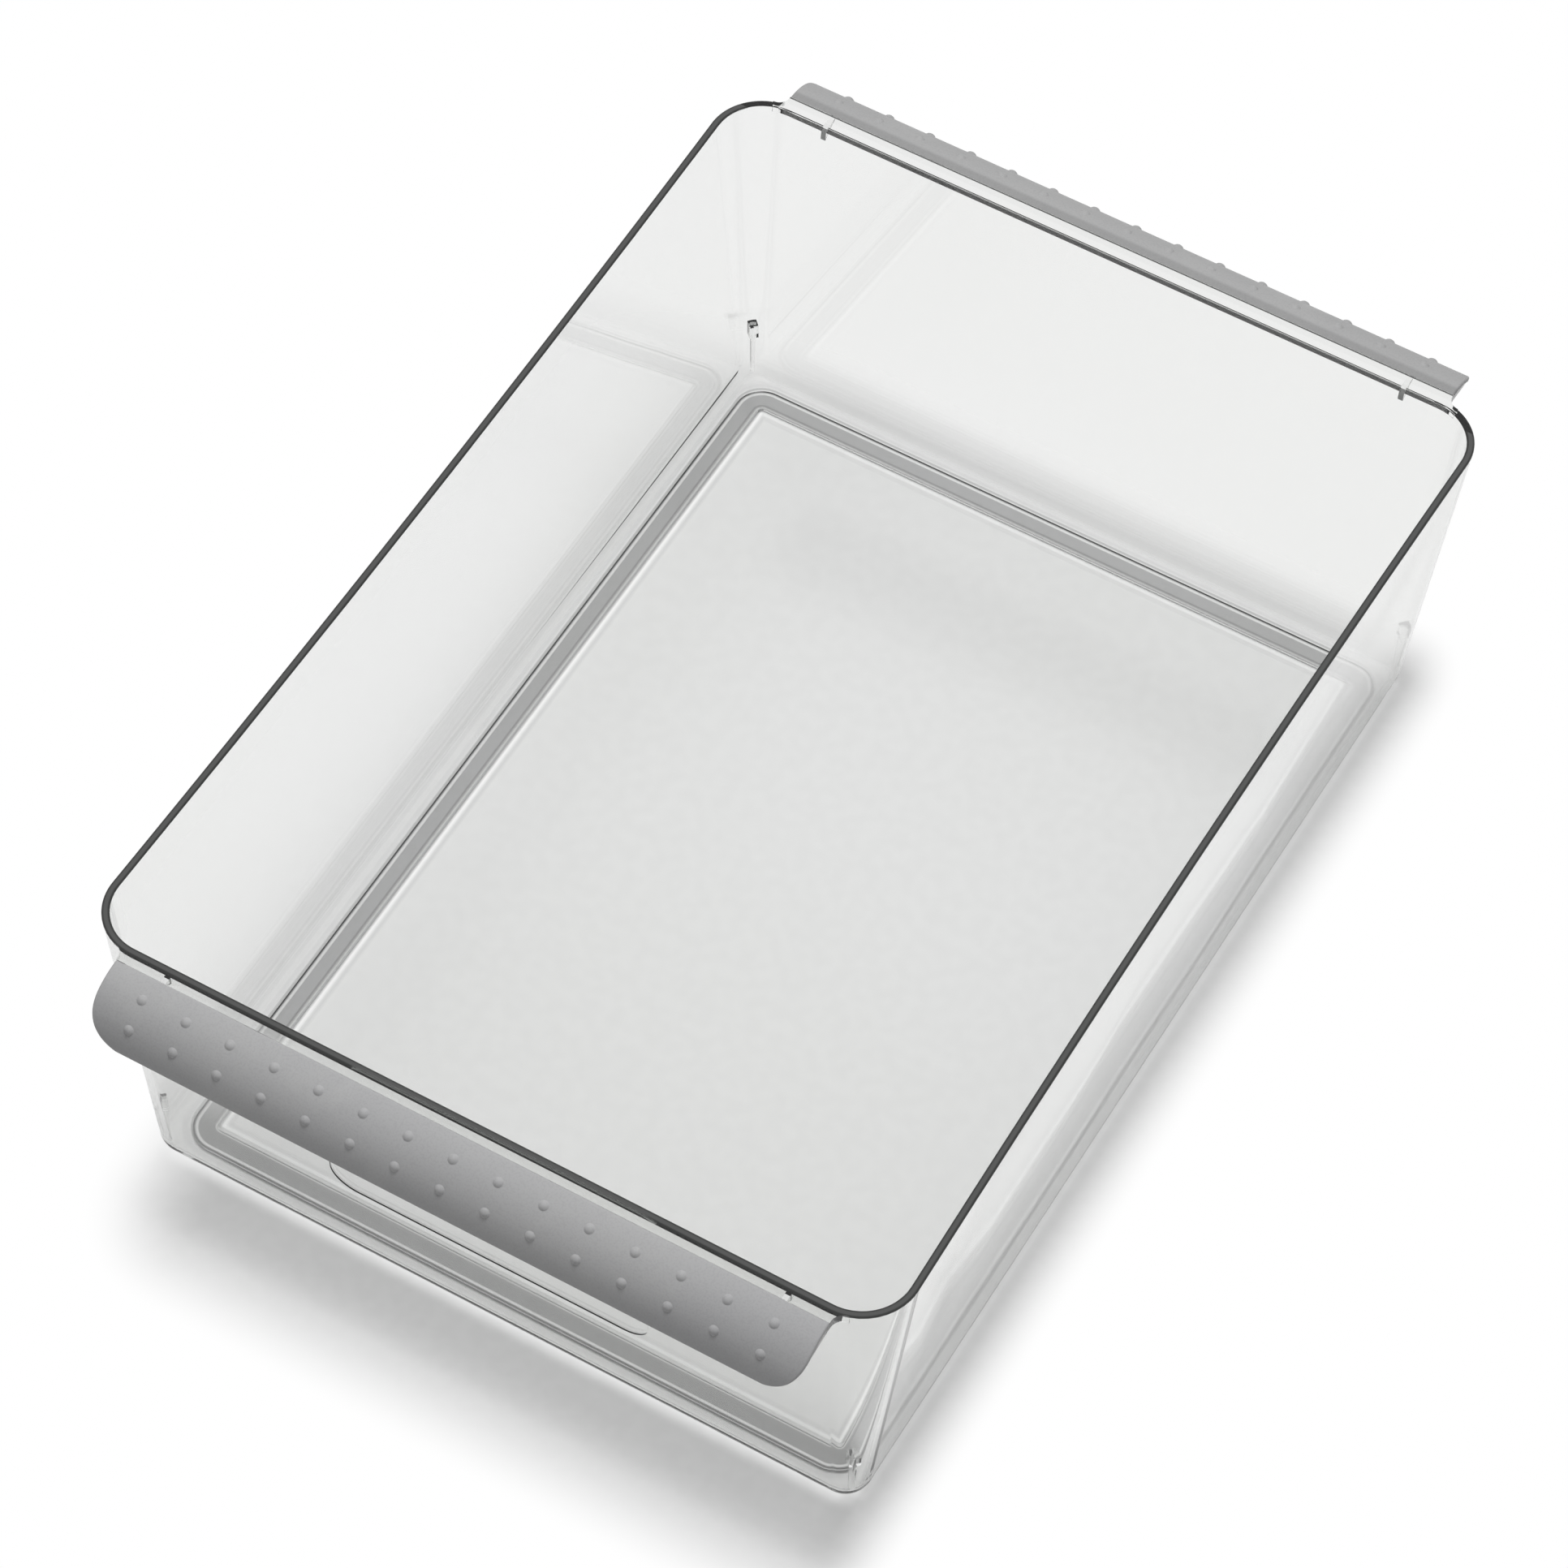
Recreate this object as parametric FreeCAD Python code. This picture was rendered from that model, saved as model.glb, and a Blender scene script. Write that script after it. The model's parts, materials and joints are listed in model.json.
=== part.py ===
import FreeCAD
import Part
import os
from math import asin, atan, cos, degrees, pi, radians, sin, sqrt

# Clear fridge bin with a soft grip over each end lip and a soft foot ring under its floor.
# Millimetres. +X is across the bin, +Y runs from the front lip to the rear lip, +Z is up.
# The origin is the middle of the footprint, on the surface that the bin stands on.

# ---- clear body: outside sizes at the rim and at the underside, as if its edges were sharp
rim_length = 325.0
rim_width = 229.0
bin_height = 104.5
base_length = 307.0
base_width = 210.0
rim_corner = 15.7
base_corner = 7.0
side_bow = 1.4              # how far the middle of each long rim lies inside its corners
wall = 2.1
floor_thickness = 2.4
outer_edge = 5.0            # rounding between the walls and the underside
inner_edge = 3.2            # rounding between the walls and the floor inside
rim_softening = 0.4         # rounding of the rim's two edges

# ---- soft foot ring, let into the underside and standing proud of it
ring_side_margin = 0.5      # flat underside left between the rounded edge and the ring
ring_end_margin = 2.0
ring_width = 6.4
ring_corner = 8.0
ring_inner_corner = 1.3
ring_proud = 0.8
groove_depth = 1.0
seat_clearance = 0.05       # between a soft piece and the seat that it fills

# ---- end lips: a flat strip out from the rim, then an arc that rolls over and down
lip_end_margin = 13.7       # from the rim's long side to the end of the lip
lip_strip = 2.9
lip_radius = 15.8           # outside of the soft grip
lip_sweep = 83.0            # degrees of arc
lip_thickness = 1.8
lip_corner = 12.0           # rounding of the lip's two lower corners, seen from the front
lip_flare = 3.2             # hollow rounding that runs the lip's end into the rim

# ---- small triangular gussets between the wall and the underside of each lip
gusset_end_margin = 12.9    # from the lip's end to the middle of the gusset
gusset_thickness = 1.5
gusset_reach = 5.5
gusset_drop = 6.5

# ---- soft grips
grip_thickness = 1.1
nub_columns = 15
nub_pitch = 12.75
nub_diameter = 2.8
nub_height = 0.65
nub_root = 0.3              # how deep a nub's flat foot sits in the grip
upper_nub_angle = 23.0      # degrees round the arc from its top
lower_nub_angle = 53.0

# ---- nesting ribs: one up each inside corner, with a block on which the next bin lands
rib_height = 20.0           # from the floor to the top of the block
rib_thickness = 0.9
rib_projection = 1.2        # out of the corner, at the floor
block_width = 2.6
block_height = 4.5

# ---- bare label panel, sunk into the outside of the front wall
label_width = 93.0
label_height = 33.0
label_corner = 7.5
label_depth = 0.4
label_bottom = 34.7         # above the underside

# ---- worked out from the sizes above
underside = ring_proud
floor_top = underside + floor_thickness
wall_rise = bin_height - underside
end_draft = (rim_length - base_length) / 2 / wall_rise
ring_outer_width = base_width - 2 * (outer_edge + ring_side_margin)
ring_outer_length = base_length - 2 * (outer_edge + ring_end_margin)
lip_length = rim_width - 2 * lip_end_margin
lip_depth = grip_thickness + lip_thickness       # the flat strip is as deep as lip and grip
lip_root = rim_length / 2                        # where the flat strip starts
lip_bend = lip_root + lip_strip                  # where the arc starts
lip_underside = bin_height - lip_depth
arc_centre = bin_height - lip_radius
seat_radius = lip_radius - grip_thickness        # inner face of the grip
sweep = radians(lip_sweep)
wall_middle = lip_root - wall / 2

Vector = FreeCAD.Vector
ORIGIN = Vector(0, 0, 0)
X_AXIS = Vector(1, 0, 0)
Y_AXIS = Vector(0, 1, 0)
Z_AXIS = Vector(0, 0, 1)
DIAGONAL = Vector(cos(pi / 4), sin(pi / 4), 0)   # from the middle of the bin to its +X +Y corner
ACROSS = Vector(-sin(pi / 4), cos(pi / 4), 0)


def line(start, end):
    """Straight edge between two points."""
    return Part.LineSegment(start, end).toShape()


def arc(start, middle, end):
    """Circular edge through three points."""
    return Part.Arc(start, middle, end).toShape()


def polygon(points):
    """Flat face inside a closed run of points."""
    return Part.Face(Part.makePolygon(points + points[:1]))


def edges_at(shape, height):
    """Edges of a shape that lie level at a height."""
    tolerance = seat_clearance / 10
    return [edge for edge in shape.Edges
            if all(abs(vertex.Z - height) < tolerance for vertex in edge.Vertexes)]


def to_rear(shape):
    """Copy of a front piece, turned half round to the rear."""
    turned = shape.copy()
    turned.rotate(ORIGIN, Z_AXIS, 180)
    return turned


def outline(width, length, corner, bow, height):
    """Level closed wire: a rounded rectangle whose two long sides may bow inwards."""
    across = width / 2 - corner
    along = length / 2 - corner
    tilt = asin(2 * bow * along / (along ** 2 + bow ** 2))
    side_x = across + corner * cos(tilt)
    side_y = along - corner * sin(tilt)
    half_turn = (pi / 2 - tilt) / 2
    turn_x = across + corner * cos(half_turn)
    turn_y = along + corner * sin(half_turn)

    def at(x, y):
        return Vector(x, y, height)

    def side(sign):
        start = at(sign * side_x, -sign * side_y)
        end = at(sign * side_x, sign * side_y)
        if bow == 0:
            return line(start, end)
        return arc(start, at(sign * (width / 2 - bow), 0), end)

    def end(sign):
        return line(at(sign * across, sign * length / 2), at(-sign * across, sign * length / 2))

    def turn(x_sign, y_sign):
        on_side = at(x_sign * side_x, y_sign * side_y)
        on_end = at(x_sign * across, y_sign * length / 2)
        middle = at(x_sign * turn_x, y_sign * turn_y)
        if x_sign == y_sign:
            return arc(on_side, middle, on_end)
        return arc(on_end, middle, on_side)

    return Part.Wire([side(1), turn(1, 1), end(1), turn(-1, 1),
                      side(-1), turn(-1, -1), end(-1), turn(1, -1)])


def body_size(height, inset):
    """Width, length, corner and bow of the body at a height, moved inwards by inset."""
    rise = (height - underside) / wall_rise
    width = base_width + (rim_width - base_width) * rise - 2 * inset
    length = base_length + (rim_length - base_length) * rise - 2 * inset
    corner = base_corner + (rim_corner - base_corner) * rise - inset
    return width, length, corner, side_bow * rise


def body_block(bottom, top, inset, rounding):
    """Solid between two heights of the body, moved inwards by inset, its bottom edges rounded."""
    sections = [outline(*body_size(height, inset), height) for height in (bottom, top)]
    block = Part.makeLoft(sections, True, True)
    corner = body_size(bottom, inset)[2]
    return block.makeFillet(min(rounding, 0.8 * corner), edges_at(block, bottom))


def open_box():
    """Walls and floor of the clear body, with a softened rim."""
    outside = body_block(underside, bin_height, 0, outer_edge)
    cavity = body_block(floor_top, bin_height + wall, wall, inner_edge)
    box = outside.cut(cavity)
    return box.makeFillet(min(rim_softening, wall / 3), edges_at(box, bin_height))


def rolled_arc(inner, outer):
    """Front lip's rolled part between two radii, as long as the lip."""
    def at(radius, angle):
        return Vector(-lip_length / 2, -lip_bend - radius * sin(angle), arc_centre + radius * cos(angle))

    edges = [arc(at(outer, 0), at(outer, sweep / 2), at(outer, sweep)),
             line(at(outer, sweep), at(inner, sweep)),
             arc(at(inner, sweep), at(inner, sweep / 2), at(inner, 0)),
             line(at(inner, 0), at(outer, 0))]
    return Part.Face(Part.Wire(edges)).extrude(X_AXIS * lip_length)


def lip_outline():
    """Block with the lip's front outline: square at the top, round at its two lower corners."""
    drop = lip_radius * (1 - cos(sweep)) + lip_depth * cos(sweep)
    reach = lip_bend + lip_radius
    block = Part.makeBox(lip_length, reach, drop, Vector(-lip_length / 2, -reach, bin_height - drop))
    corners = [edge for edge in edges_at(block, bin_height - drop)
               if abs(edge.CenterOfMass.y + reach / 2) < seat_clearance]
    return block.makeFillet(min(lip_corner, 0.9 * drop), corners)


def end_flare():
    """Web with a hollow edge on the +X side, from the lip's end into the rim's corner."""
    end = lip_length / 2
    outer = end + lip_flare
    into_corner = max(outer - (rim_width / 2 - rim_corner), 0)
    rim_y = lip_root - rim_corner + sqrt(rim_corner ** 2 - into_corner ** 2)
    hollow = lip_flare * (1 - cos(pi / 4))

    def at(x, y):
        return Vector(x, -y, lip_underside)

    low_corners = [at(outer, rim_y), at(outer, rim_y - wall / 2), at(end - lip_flare, rim_y - wall / 2),
                   at(end - lip_flare, rim_y + lip_flare), at(end, rim_y + lip_flare)]
    edges = [line(start, end) for start, end in zip(low_corners, low_corners[1:])]
    edges.append(arc(low_corners[-1], at(end + hollow, rim_y + hollow), low_corners[0]))
    return Part.Face(Part.Wire(edges)).extrude(Z_AXIS * lip_depth)


def lip_gusset():
    """Triangular plate on the +X side, between the front wall and the lip's underside."""
    left = lip_length / 2 - gusset_end_margin - gusset_thickness / 2
    top = lip_underside + lip_thickness / 2
    foot = wall_middle - end_draft * gusset_drop
    plate = polygon([Vector(left, -foot, top),
                     Vector(left, -foot, bin_height - gusset_drop),
                     Vector(left, -(lip_root + gusset_reach), top)])
    return plate.extrude(X_AXIS * gusset_thickness)


def front_lip():
    """Clear strip, rolled lip, end flares and gussets at the front of the body."""
    strip = Part.makeBox(lip_length, lip_bend - wall_middle, lip_depth,
                         Vector(-lip_length / 2, -lip_bend, lip_underside))
    roll = rolled_arc(seat_radius - lip_thickness, seat_radius - seat_clearance)
    pieces = [roll.common(lip_outline())]
    for piece in (end_flare(), lip_gusset()):
        pieces += [piece, piece.mirror(ORIGIN, X_AXIS)]
    return strip.multiFuse(pieces)


def corner_point(height, depth):
    """Point on the +X +Y corner's diagonal, a depth into the body from its outside face."""
    width, length, corner, _ = body_size(height, 0)
    centre = Vector(width / 2 - corner, length / 2 - corner, height)
    return centre + DIAGONAL * (corner - depth)


def nesting_rib():
    """Thin rib up the +X +Y inside corner, with the landing block at its top."""
    foot = corner_point(floor_top, wall)

    def at(height, projection):
        """Point in the rib's upright plane, a height over the floor, that far out of the corner."""
        return foot + Z_AXIS * height - DIAGONAL * projection

    def in_wall(height):
        """Projection, less than nothing, of the middle of the wall."""
        return (foot - corner_point(floor_top + height, wall / 2)).dot(DIAGONAL)

    def plate(bottom, top, thickness):
        """Upright plate out of the wall between two heights over the floor."""
        corners = [at(bottom, in_wall(bottom)), at(top, in_wall(top)),
                   at(top, rib_projection), at(bottom, rib_projection)]
        side = ACROSS * (thickness / 2)
        return polygon([corner - side for corner in corners]).extrude(ACROSS * thickness)

    rib = plate(-floor_thickness / 2, rib_height, rib_thickness)
    return rib.fuse(plate(rib_height - block_height, rib_height, block_width))


def label_panel():
    """Tool that sinks the label panel into the front wall."""
    lean = atan(end_draft)
    middle = label_bottom + label_height / 2 * cos(lean)
    wall_y = base_length / 2 + end_draft * middle
    plate = Part.Face(outline(label_width, label_height, label_corner, 0, -label_depth))
    tool = plate.extrude(Z_AXIS * wall)
    tool.rotate(ORIGIN, X_AXIS, 90 + degrees(lean))
    tool.translate(Vector(0, -wall_y, underside + middle))
    return tool


def ring(gap):
    """Foot ring up to the top of its groove, grown all round by a gap."""
    top = underside + groove_depth
    outside = outline(ring_outer_width + 2 * gap, ring_outer_length + 2 * gap, ring_corner + gap, 0, 0)
    inset = 2 * (ring_width + gap)
    inner_corner = max(ring_inner_corner - gap, ring_inner_corner / 2)
    inside = outline(ring_outer_width - inset, ring_outer_length - inset, inner_corner, 0, 0)
    height = Z_AXIS * (top + gap)
    return Part.Face(outside).extrude(height).cut(Part.Face(inside).extrude(height))


def bin_shell():
    """Clear body with its lips, gussets, nesting ribs, ring groove and label panel."""
    lip = front_lip()
    rib = nesting_rib()
    ribs = [rib, rib.mirror(ORIGIN, X_AXIS), rib.mirror(ORIGIN, Y_AXIS), to_rear(rib)]
    body = open_box().multiFuse([lip, to_rear(lip)] + ribs)
    return body.cut(label_panel()).cut(ring(seat_clearance))


def nub(angle, x):
    """Low dome that stands out of the front grip, with a flat foot inside the grip."""
    dome_radius = (nub_diameter ** 2 / 4 + nub_height ** 2) / (2 * nub_height)
    centre = Vector(x, -lip_bend, bin_height + nub_height - dome_radius)
    foot_latitude = degrees(asin(1 - (nub_height + nub_root) / dome_radius))
    dome = Part.makeSphere(dome_radius, centre, Z_AXIS, foot_latitude, 90, 360)
    dome.rotate(Vector(x, -lip_bend, arc_centre), X_AXIS, angle)
    return dome


def front_grip():
    """Soft cover over the front lip's rolled part, with two rows of nubs."""
    cover = rolled_arc(seat_radius, lip_radius).common(lip_outline())
    row_start = -(nub_columns - 1) / 2 * nub_pitch
    nubs = [nub(angle, row_start + column * nub_pitch)
            for angle in (upper_nub_angle, lower_nub_angle)
            for column in range(nub_columns)]
    return cover.multiFuse(nubs)


def base_ring():
    """Soft ring in the underside's groove; the bin stands on it."""
    return ring(0)


def write_parts():
    """Write one STEP file for each piece and print its size."""
    grip = front_grip()
    pieces = {"bin_shell": bin_shell(),
              "front_grip": grip,
              "rear_grip": to_rear(grip),
              "base_ring": base_ring()}
    os.makedirs("parts", exist_ok=True)
    for name, shape in pieces.items():
        shape.exportStep("parts/" + name + ".step")
        box = shape.BoundBox
        print(name, "solids", len(shape.Solids), "valid", shape.isValid(), "mm3", round(shape.Volume),
              "size", round(box.XLength, 2), round(box.YLength, 2), round(box.ZLength, 2))


write_parts()
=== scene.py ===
"""Clear fridge bin with a soft grip over each end lip and a soft foot ring under its floor.

The clear body keeps the mesh of its solid and gets its finish here. The two soft grips and
the foot ring are modelled here, over their solids. A piece is worked in millimetres and
brought to metres when it is finished.
"""
import json
import logging
import math
from collections.abc import Callable
from dataclasses import dataclass, field
from enum import Enum

import bmesh
import bpy
from mathutils import Matrix, Vector

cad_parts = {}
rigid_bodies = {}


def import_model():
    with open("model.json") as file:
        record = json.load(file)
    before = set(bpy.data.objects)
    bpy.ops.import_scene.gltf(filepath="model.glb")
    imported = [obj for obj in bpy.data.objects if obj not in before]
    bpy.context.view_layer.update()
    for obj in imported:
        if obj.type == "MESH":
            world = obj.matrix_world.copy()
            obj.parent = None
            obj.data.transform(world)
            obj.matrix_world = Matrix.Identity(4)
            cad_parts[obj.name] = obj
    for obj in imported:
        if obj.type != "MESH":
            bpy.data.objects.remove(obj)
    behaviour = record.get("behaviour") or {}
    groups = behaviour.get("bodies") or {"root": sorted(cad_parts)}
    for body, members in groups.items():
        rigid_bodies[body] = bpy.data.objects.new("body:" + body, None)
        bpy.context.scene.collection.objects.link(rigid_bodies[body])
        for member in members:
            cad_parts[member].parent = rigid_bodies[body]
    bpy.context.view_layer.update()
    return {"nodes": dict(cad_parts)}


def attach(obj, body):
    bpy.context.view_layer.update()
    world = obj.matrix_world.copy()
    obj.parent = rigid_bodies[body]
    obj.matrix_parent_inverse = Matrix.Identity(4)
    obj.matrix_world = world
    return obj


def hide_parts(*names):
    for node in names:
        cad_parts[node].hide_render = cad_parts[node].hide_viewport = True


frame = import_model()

LOG = logging.getLogger("fridge_bin")
MM = 0.001
BODY = "root"

# Where a Mix node takes and gives colours and vectors.
MIX_COLOURS = (6, 7)
MIX_VECTORS = (4, 5)
MIXED_COLOUR = 2
MIXED_VECTOR = 1
# Shares of a line's width at which it starts to fade and has gone.
LINE_SOLID = 0.25
LINE_GONE = 0.75
BLACK = (0.0, 0.0, 0.0)
WHITE = (1.0, 1.0, 1.0)

Colour = tuple[float, float, float]
Socket = bpy.types.NodeSocket


def opaque(colour: Colour) -> tuple[float, float, float, float]:
    """Return a colour with full alpha, as node sockets take it."""
    return (*colour, 1.0)


# ---------------------------------------------------------------- node graphs


class Graph:
    """A node tree, with short calls that add nodes and join them."""

    def __init__(self, tree: bpy.types.NodeTree) -> None:
        """Empty a tree and keep it.

        Args:
            tree: The node tree of a material, a world or a group.
        """
        self.tree = tree
        tree.nodes.clear()

    def add(self, kind: str, feeds: dict | None = None, **settings: object) -> bpy.types.Node:
        """Add one node.

        Args:
            kind: The node's type, without the words ShaderNode.
            feeds: What each input gets: a socket to be linked from, or a plain value.
            **settings: Properties of the node itself.

        Returns:
            The new node.
        """
        node = self.tree.nodes.new("ShaderNode" + kind)
        for name, value in settings.items():
            setattr(node, name, value)
        for name, value in (feeds or {}).items():
            if isinstance(value, Socket):
                self.tree.links.new(value, node.inputs[name])
            else:
                node.inputs[name].default_value = value
        return node

    def math(self, operation: str, *terms: object) -> Socket:
        """Add a Math node.

        Args:
            operation: What the node works out.
            *terms: Sockets or numbers, in the order of the node's inputs.

        Returns:
            The node's output.
        """
        return self.add("Math", dict(enumerate(terms)), operation=operation).outputs[0]

    def ramp(self, value: object, low: float, high: float, start: float = 0.0,
             end: float = 1.0) -> Socket:
        """Add a smooth step.

        Args:
            value: The socket that is read.
            low: Reading at which the step starts.
            high: Reading at which the step ends.
            start: What is put out below the step.
            end: What is put out above it.

        Returns:
            The step's output.
        """
        feeds = {"Value": value, "From Min": low, "From Max": high, "To Min": start, "To Max": end}
        return self.add("MapRange", feeds, interpolation_type="SMOOTHSTEP").outputs["Result"]

    def blend(self, share: object, first: object, second: object) -> Socket:
        """Add a colour mix.

        Args:
            share: How much of the second colour shows, from 0 to 1.
            first: Colour or socket.
            second: Colour or socket.

        Returns:
            The mixed colour's output.
        """
        node = self.add("Mix", {"Factor": share, MIX_COLOURS[0]: first, MIX_COLOURS[1]: second},
                        data_type="RGBA")
        return node.outputs[MIXED_COLOUR]

    def parts(self, vector: Socket) -> object:
        """Return the three outputs, by axis, of a vector that is taken apart."""
        return self.add("SeparateXYZ", {0: vector}).outputs

    def over(self, value: Socket, level: float) -> Socket:
        """Return 1 where a reading is over a level, and 0 elsewhere."""
        return self.math("GREATER_THAN", value, level)

    def under(self, value: Socket, level: float) -> Socket:
        """Return 1 where a reading is under a level, and 0 elsewhere."""
        return self.math("LESS_THAN", value, level)

    def product(self, *terms: object) -> Socket:
        """Return the product of two or more readings."""
        total = terms[0]
        for term in terms[1:]:
            total = self.math("MULTIPLY", total, term)
        return total


class Effect:
    """A shader node group that several finishes place, each with its own values."""

    name = ""
    inputs: dict[str, str] = {}
    outputs: dict[str, str] = {}

    @classmethod
    def tree(cls) -> bpy.types.NodeTree:
        """Return the group, which is built when it is first asked for."""
        found = bpy.data.node_groups.get(cls.name)
        if found:
            return found
        tree = bpy.data.node_groups.new(cls.name, "ShaderNodeTree")
        for way, sockets in (("INPUT", cls.inputs), ("OUTPUT", cls.outputs)):
            for name, kind in sockets.items():
                tree.interface.new_socket(name, in_out=way, socket_type="NodeSocket" + kind)
        graph = Graph(tree)
        given = tree.nodes.new("NodeGroupInput").outputs
        made = cls.work_out(graph, given)
        end = tree.nodes.new("NodeGroupOutput")
        for name, socket in made.items():
            tree.links.new(socket, end.inputs[name])
        return tree

    @classmethod
    def work_out(cls, graph: Graph, given: object) -> dict[str, Socket]:
        """Fill the group.

        Args:
            graph: The empty group.
            given: The group's input sockets, by name.

        Returns:
            The socket for each of the group's outputs.
        """
        raise NotImplementedError

    @classmethod
    def place(cls, graph: Graph, **feeds: object) -> object:
        """Put the group into a material.

        Args:
            graph: The material's graph.
            **feeds: What each input gets, with its name in small letters.

        Returns:
            The placed group's output sockets, by name.
        """
        node = graph.add("Group", node_tree=cls.tree())
        for name, value in feeds.items():
            socket = node.inputs[name.replace("_", " ").title()]
            if isinstance(value, Socket):
                graph.tree.links.new(value, socket)
            else:
                socket.default_value = value
        return node.outputs


class FineGrain(Effect):
    """Fine pebbled skin that a mould leaves on soft rubber, and painted shade in its pits."""

    name = "fine grain"
    inputs = {"Place": "Vector", "Grain Size": "Float"}
    outputs = {"Height": "Float", "Pits": "Float"}
    fuzz_scale = 2.0
    fuzz_detail = 3.0
    fuzz_share = 0.45
    pebble_top = 0.8
    pit_levels = (0.35, 0.7)

    @classmethod
    def work_out(cls, graph: Graph, given: object) -> dict[str, Socket]:
        """Lay rounded pebbles over a finer roughness (see Effect.work_out)."""
        scale = graph.math("DIVIDE", 1.0, given["Grain Size"])
        pebbles = graph.add("TexVoronoi", {"Vector": given["Place"], "Scale": scale},
                            feature="SMOOTH_F1").outputs["Distance"]
        fuzz = graph.add("TexNoise", {"Vector": given["Place"],
                                      "Scale": graph.product(scale, cls.fuzz_scale),
                                      "Detail": cls.fuzz_detail}).outputs["Fac"]
        height = graph.math("MULTIPLY_ADD", fuzz, cls.fuzz_share,
                            graph.math("SUBTRACT", cls.pebble_top, pebbles))
        return {"Height": height, "Pits": graph.ramp(height, *cls.pit_levels, 1.0, 0.0)}


class HandlingMarks(Effect):
    """Soft smudges and a few hairline scuffs from use."""

    name = "handling marks"
    inputs = {"Place": "Vector", "Patch Size": "Float"}
    outputs = {"Smudges": "Float", "Scuffs": "Float"}
    smudge_noise = {"Detail": 4.0, "Roughness": 0.6, "Distortion": 0.4}
    smudge_levels = (0.5, 0.72)
    scuff_turn = (0.5, 0.35, 0.9)
    scuff_stretch = (1.0, 0.07, 1.0)
    scuff_scale = 24.0
    scuff_detail = 2.0
    scuff_levels = (0.70, 0.76)

    @classmethod
    def work_out(cls, graph: Graph, given: object) -> dict[str, Socket]:
        """Keep thin stretched scuffs to the slow smudges (see Effect.work_out)."""
        scale = graph.math("DIVIDE", 1.0, given["Patch Size"])
        slow = graph.add("TexNoise", {"Vector": given["Place"], "Scale": scale,
                                      **cls.smudge_noise}).outputs["Fac"]
        smudges = graph.ramp(slow, *cls.smudge_levels)
        stretched = graph.add("Mapping", {"Vector": given["Place"], "Rotation": cls.scuff_turn,
                                          "Scale": cls.scuff_stretch}).outputs["Vector"]
        streaks = graph.add("TexNoise", {"Vector": stretched,
                                         "Scale": graph.product(scale, cls.scuff_scale),
                                         "Detail": cls.scuff_detail}).outputs["Fac"]
        scuffs = graph.product(graph.ramp(streaks, *cls.scuff_levels), smudges)
        return {"Smudges": smudges, "Scuffs": scuffs}


class SlowDrift(Effect):
    """Slow change of tone and level across a moulding."""

    name = "slow drift"
    inputs = {"Place": "Vector", "Patch Size": "Float"}
    outputs = {"Share": "Float", "Height": "Float"}
    noise = {"Detail": 1.0, "Roughness": 0.35}
    levels = (0.3, 0.7)

    @classmethod
    def work_out(cls, graph: Graph, given: object) -> dict[str, Socket]:
        """Take both from one slow noise (see Effect.work_out)."""
        scale = graph.math("DIVIDE", 1.0, given["Patch Size"])
        slow = graph.add("TexNoise", {"Vector": given["Place"], "Scale": scale,
                                      **cls.noise}).outputs["Fac"]
        return {"Share": graph.ramp(slow, *cls.levels), "Height": slow}


class OutlineDepth(Effect):
    """How far a place lies inside an upright rounded rectangle round the middle, in metres."""

    name = "outline depth"
    inputs = {"Place": "Vector", "Half Width": "Float", "Half Length": "Float", "Corner": "Float"}
    outputs = {"Depth": "Float"}

    @classmethod
    def work_out(cls, graph: Graph, given: object) -> dict[str, Socket]:
        """Take the distance from the outline, with round corners (see Effect.work_out)."""
        spread = graph.parts(given["Place"])
        over = [graph.math("ADD", given["Corner"], graph.math(
            "SUBTRACT", graph.math("ABSOLUTE", spread[axis]), given[half]))
            for axis, half in (("X", "Half Width"), ("Y", "Half Length"))]
        outside = [graph.math("MAXIMUM", part, 0.0) for part in over]
        squares = [graph.product(part, part) for part in outside]
        away = graph.math("SQRT", graph.math("ADD", *squares))
        within = graph.math("MINIMUM", graph.math("MAXIMUM", *over), 0.0)
        reach = graph.math("ADD", away, within)
        return {"Depth": graph.math("SUBTRACT", given["Corner"], reach)}


@dataclass(frozen=True)
class CornerShape:
    """How the body's upright corners widen from the floor to the rim, in metres.

    A given normal is put right where the cosine between it and the true one is over match.
    """

    height: float = 0.1045
    low_x: float = 0.098
    low_y: float = 0.1465
    widen_x: float = 0.0008
    widen_y: float = 0.0003
    slope: float = 0.0833
    bottom: float = 0.0075
    top: float = 0.1039
    match: float = 0.93


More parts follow.
